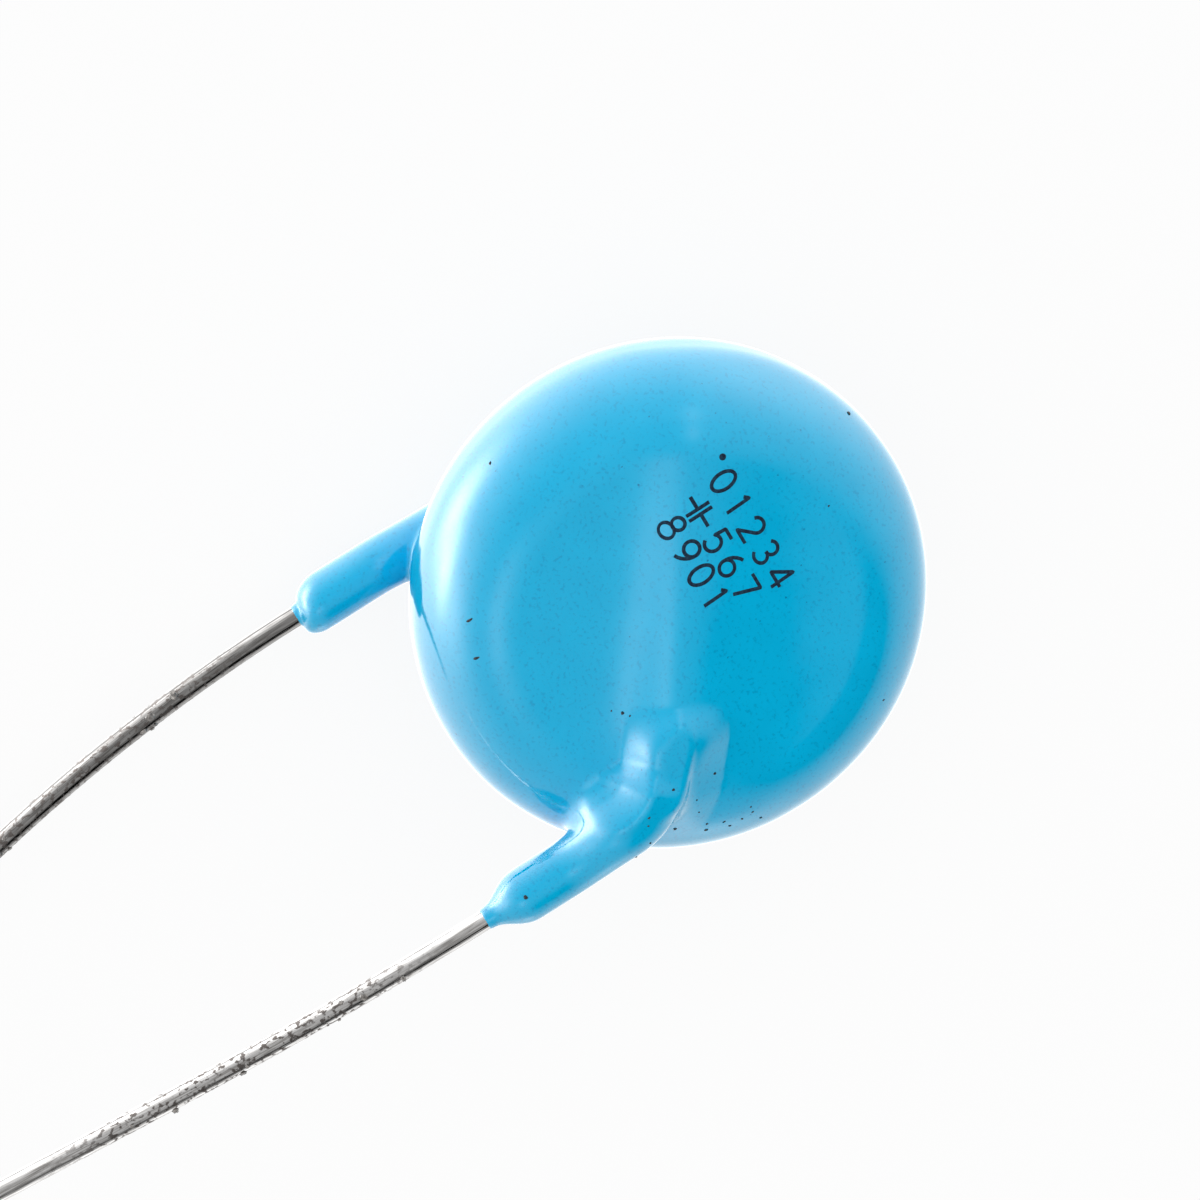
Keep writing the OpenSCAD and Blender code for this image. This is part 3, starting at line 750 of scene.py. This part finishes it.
ink_lines.links.new(upright.outputs[0], rounded.inputs["Curve"])
ink_lines.links.new(k("SQRT", round_end), rounded.inputs["Radius"])
bead = ink_lines.nodes.new("GeometryNodeCurvePrimitiveCircle")
bead.inputs["Resolution"].default_value = 10
ink_lines.links.new(half_width, bead.inputs["Radius"])
flat = ink_lines.nodes.new("GeometryNodeTransform")
flat.inputs["Scale"].default_value = (1.0, 0.2, 1.0)
ink_lines.links.new(bead.outputs[0], flat.inputs["Geometry"])
inked = ink_lines.nodes.new("GeometryNodeCurveToMesh")
inked.inputs["Fill Caps"].default_value = True
ink_lines.links.new(rounded.outputs[0], inked.inputs["Curve"])
ink_lines.links.new(flat.outputs[0], inked.inputs["Profile Curve"])
wet = ink_lines.nodes.new("GeometryNodeSetMaterial")
ink_lines.links.new(inked.outputs[0], wet.inputs["Geometry"])
ink_lines.links.new(ink_in["Material"], wet.inputs["Material"])
ink_lines.links.new(wet.outputs[0], ink_result)


def arc(cx, cy, rx, ry, start, stop):
    """Points along an ellipse between two angles in degrees, about 12 degrees apart."""
    count = max(6, int(abs(stop - start) / 12))
    turns = [math.radians(start + (stop - start) * i / count) for i in range(count + 1)]
    return [(cx + rx * math.cos(a), cy + ry * math.sin(a)) for a in turns]


# The strokes of each sign, in shares of its width and height
strokes = {
    "0": [arc(0.5, 0.5, 0.40, 0.5, 100, 480)],
    "1": [[(0.32, 0.84), (0.52, 1.0), (0.52, 0.0)]],
    "2": [arc(0.48, 0.71, 0.38, 0.29, 165, -42) + [(0.08, 0.0), (0.90, 0.0)]],
    "3": [arc(0.45, 0.75, 0.34, 0.25, 150, -90), arc(0.45, 0.26, 0.40, 0.26, 90, -150)],
    "4": [[(0.70, 0.0), (0.70, 1.0), (0.05, 0.28), (0.95, 0.28)]],
    "5": [[(0.84, 1.0), (0.24, 1.0), (0.17, 0.54)] + arc(0.46, 0.33, 0.40, 0.33, 125, -145)],
    "6": [arc(0.98, 0.30, 0.88, 0.72, 112, 180), arc(0.49, 0.30, 0.39, 0.30, 180, 560)],
    "7": [[(0.08, 1.0), (0.92, 1.0), (0.38, 0.0)]],
    "8": [arc(0.5, 0.76, 0.31, 0.24, 90, 470), arc(0.5, 0.27, 0.40, 0.27, 90, 470)],
    "9": [arc(0.02, 0.70, 0.88, 0.72, -68, 0), arc(0.51, 0.70, 0.39, 0.30, 0, 380)],
    "plates": [[(-0.35, 0.5), (0.36, 0.5)], [(0.36, 0.0), (0.36, 1.0)],
               [(0.64, 0.0), (0.64, 1.0)], [(0.64, 0.5), (1.35, 0.5)]],
    "dot": [arc(0.5, 0.5, 0.08, 0.063, 0, 400)],
}
sign_width, sign_height, plates_lead = 0.66, 0.84, 0.2
points, edges = [], []
for row, first_x, first_y, advance in ((("dot",), -4.26, 3.48, 0.0),
                                       ("01234", -3.58, 3.12, 0.94),
                                       (("plates", "5", "6", "7"), -2.98, 1.99, 0.94),
                                       ("8901", -3.19, 1.03, 0.90)):
    for place_in_row, sign in enumerate(row):
        middle_x = first_x + advance * place_in_row - (plates_lead if sign == "plates" else 0)
        for stroke in strokes[sign]:
            edges += [(len(points) + i, len(points) + i + 1) for i in range(len(stroke) - 1)]
            points += [((middle_x + (over_x - 0.5) * sign_width) / 1000,
                        (first_y + (over_y - 0.5) * sign_height) / 1000, disc_z + 0.01)
                       for over_x, over_y in stroke]

ink, kn, kl, film = surface("print_ink", Roughness=0.6, Specular_IOR_Level=0.15)
mottled(kn, kl, film, 9000.0, (0.40, (0.004, 0.012, 0.030)), (0.70, (0.008, 0.045, 0.085)))
pen = bpy.data.meshes.new("pen")
pen.from_pydata(points, edges, [])
printed = modelled("face_print", ink_lines, {
    "Face": coating, "Line width": 0.000125, "Material": ink}, source=pen, layers=False)
printed.data.shade_smooth()
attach(printed, "root")

# ---------------------------------------------------------------------------------------------
# Specks on the resin: dust and crumbs of pigment that set in the skin, most of them along the edge
# on the leads' side, where the part hung while it cured.

skin_tree = BVHTree.FromObject(coating, bpy.context.evaluated_depsgraph_get())
points, faces, corners = [], [], 14
# Where each lies across and along the part, its radius and its stretch, in mm
specks = ((-8.05, -2.72, 0.055, 1.0), (-3.99, -5.79, 0.05, 2.2), (-2.80, -6.22, 0.045, 2.6),
          (1.34, -3.25, 0.05, 1.3), (1.55, -3.10, 0.035, 1.0), (4.42, -3.14, 0.05, 1.0),
          (4.71, -1.78, 0.05, 1.2), (-3.15, 7.60, 0.07, 1.6), (-0.88, 5.54, 0.035, 1.0),
          (5.66, 3.92, 0.04, 1.0), (4.87, -8.81, 0.065, 1.2), (1.08, -3.51, 0.03, 1.0),
          (4.79, -4.24, 0.045, 1.0), (5.01, -4.39, 0.035, 1.0), (5.61, -3.74, 0.06, 1.2),
          (6.04, -2.81, 0.045, 1.0), (6.20, -2.93, 0.06, 1.0), (5.55, -2.83, 0.035, 1.0),
          (5.15, -2.69, 0.035, 1.0), (6.29, -2.32, 0.04, 1.4), (6.51, -2.23, 0.05, 1.0),
          (6.53, -1.79, 0.045, 1.0), (6.34, -1.36, 0.035, 1.0), (6.52, -1.39, 0.04, 1.0),
          (6.84, -1.27, 0.05, 1.0), (5.54, -4.62, 0.045, 1.0), (5.69, -5.22, 0.04, 1.0))
rings = ((1.0, -0.5), (0.92, 0.15), (0.55, 0.42))
for number, (x, y, speck_radius, stretch) in enumerate(specks):
    start = Vector((x / 1000, y / 1000, disc_z + 0.003)) + toward * 0.02
    hit, out_of, _, _ = skin_tree.ray_cast(start, -toward)
    if hit is None:
        continue
    side_way = out_of.cross(lead_way).normalized()
    long_way = side_way.cross(out_of)
    base = len(points)
    for ring_share, lift in rings:
        for corner_number in range(corners):
            a = 2 * math.pi * corner_number / corners
            wobble = 1 + 0.18 * math.sin(2 * a + number * 1.7) + 0.10 * math.sin(3 * a + number)
            r = speck_radius * ring_share * wobble / 1000
            points.append(hit + long_way * (r * stretch * math.cos(a))
                          + side_way * (r * math.sin(a)) + out_of * (lift * speck_radius / 1000))
    for first in (base, base + corners):
        for i in range(corners):
            a0, a1 = first + i, first + (i + 1) % corners
            faces.append((a0, a1, a1 + corners, a0 + corners))
    faces.append(tuple(range(base + 2 * corners, base + 3 * corners)))
    faces.append(tuple(reversed(range(base, base + corners))))
speck_mesh = bpy.data.meshes.new("resin_specks")
speck_mesh.from_pydata(points, [], faces)
speck_mesh.shade_smooth()
dust, un, ul, grit = surface("dark_dust", Roughness=0.6, Specular_IOR_Level=0.15)
mottled(un, ul, grit, 12000.0, (0.35, (0.010, 0.016, 0.022)), (0.70, (0.05, 0.06, 0.07)))
speck_mesh.materials.append(dust)
specks_piece = bpy.data.objects.new("resin_specks", speck_mesh)
bpy.context.scene.collection.objects.link(specks_piece)
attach(specks_piece, "root")

# ---------------------------------------------------------------------------------------------
# Stage: a plain white surface that the part lies on, in an open tent with soft boxes at the left

floor_mesh = bpy.data.meshes.new("floor")
floor_mesh.from_pydata([(-3, -3, 0), (3, -3, 0), (3, 3, 0), (-3, 3, 0)], [], [(0, 1, 2, 3)])
floor = bpy.data.objects.new("floor", floor_mesh)
bpy.context.scene.collection.objects.link(floor)
paper = bpy.data.materials.new("white_paper")
paper.use_nodes = True
pn, pl = paper.node_tree.nodes, paper.node_tree.links
pn.remove(pn["Principled BSDF"])
matt = pn.new("ShaderNodeBsdfDiffuse")
matt.inputs["Color"].default_value = (0.08, 0.08, 0.08, 1)
glow = pn.new("ShaderNodeEmission")
glow.inputs["Strength"].default_value = 0.90
both = pn.new("ShaderNodeAddShader")
pl.new(matt.outputs[0], both.inputs[0])
pl.new(glow.outputs[0], both.inputs[1])
pl.new(both.outputs[0], pn["Material Output"].inputs["Surface"])
floor_mesh.materials.append(paper)
floor.visible_glossy = floor.visible_diffuse = floor.visible_shadow = False

world = bpy.data.worlds.new("tent")
bpy.context.scene.world = world
world.use_nodes = True
wn, wl = world.node_tree.nodes, world.node_tree.links
e = lambda operation, *values, vector=False, out=0: calc(world.node_tree, operation, *values,
                                                         vector=vector, out=out)
facing = e("NORMALIZE", wn.new("ShaderNodeTexCoord").outputs["Generated"], vector=True)


def pointing(way, unit=False):
    """How squarely a ray points along a way, given as its parts along right, up and toward."""
    fixed = right * way[0] + up * way[1] + toward * way[2]
    if unit:
        fixed.normalize()
    return e("DOT_PRODUCT", facing, tuple(fixed), vector=True, out=1)


# What gloss sees: the tent, paler to the right and below, with each soft box or gap in it given by
# its way, its strength and how tightly it is gathered
tent = pointing((0.978, -0.680, -0.269))
for way, strength, tightness in (((-0.951, 0.305, -0.038), 11.8, 23.2),
                                 ((-0.991, -0.052, 0.124), 10.7, 48.5),
                                 ((-0.978, -0.203, 0.052), 3.25, 4.6),
                                 ((-0.727, 0.639, -0.251), 5.74, 1.6),
                                 ((0.620, 0.784, 0.008), 2.23, 4.8),
                                 ((0.278, 0.453, 0.847), 1.14, 42.0),
                                 ((0.307, 0.089, 0.948), 0.99, 62.0),
                                 ((0.151, -0.893, -0.425), 1.59, 34.0),
                                 ((-0.120, -0.560, 0.820), 1.5, 40.0),
                                 ((-0.860, -0.300, 0.350), 3.0, 30.0),
                                 ((0.709, -0.630, 0.317), -2.02, 12.4)):
    off_by = e("SUBTRACT", pointing(way, unit=True), 1.0)
    tent = e("ADD", tent, e("MULTIPLY", e("EXPONENT", e("MULTIPLY", off_by, tightness)), strength))
tent = e("MAXIMUM", tent, 0.0)

# What everything else sees: plain light, a little more from above and the front
soft = e("MAXIMUM", e("ADD", 0.82, pointing((-0.18, 0.28, 0.42))), 0.0)
seen = wn.new("ShaderNodeLightPath").outputs
level = e("ADD", e("MULTIPLY", seen["Is Camera Ray"], 0.98),
          e("MULTIPLY", e("SUBTRACT", 1.0, seen["Is Camera Ray"]),
            e("ADD", e("MULTIPLY", seen["Is Glossy Ray"], tent),
              e("MULTIPLY", e("SUBTRACT", 1.0, seen["Is Glossy Ray"]), soft))))
wl.new(level, wn["Background"].inputs["Strength"])
wn["Background"].inputs["Color"].default_value = (1, 1, 1, 1)

bpy.context.scene.view_settings.view_transform = "Standard"
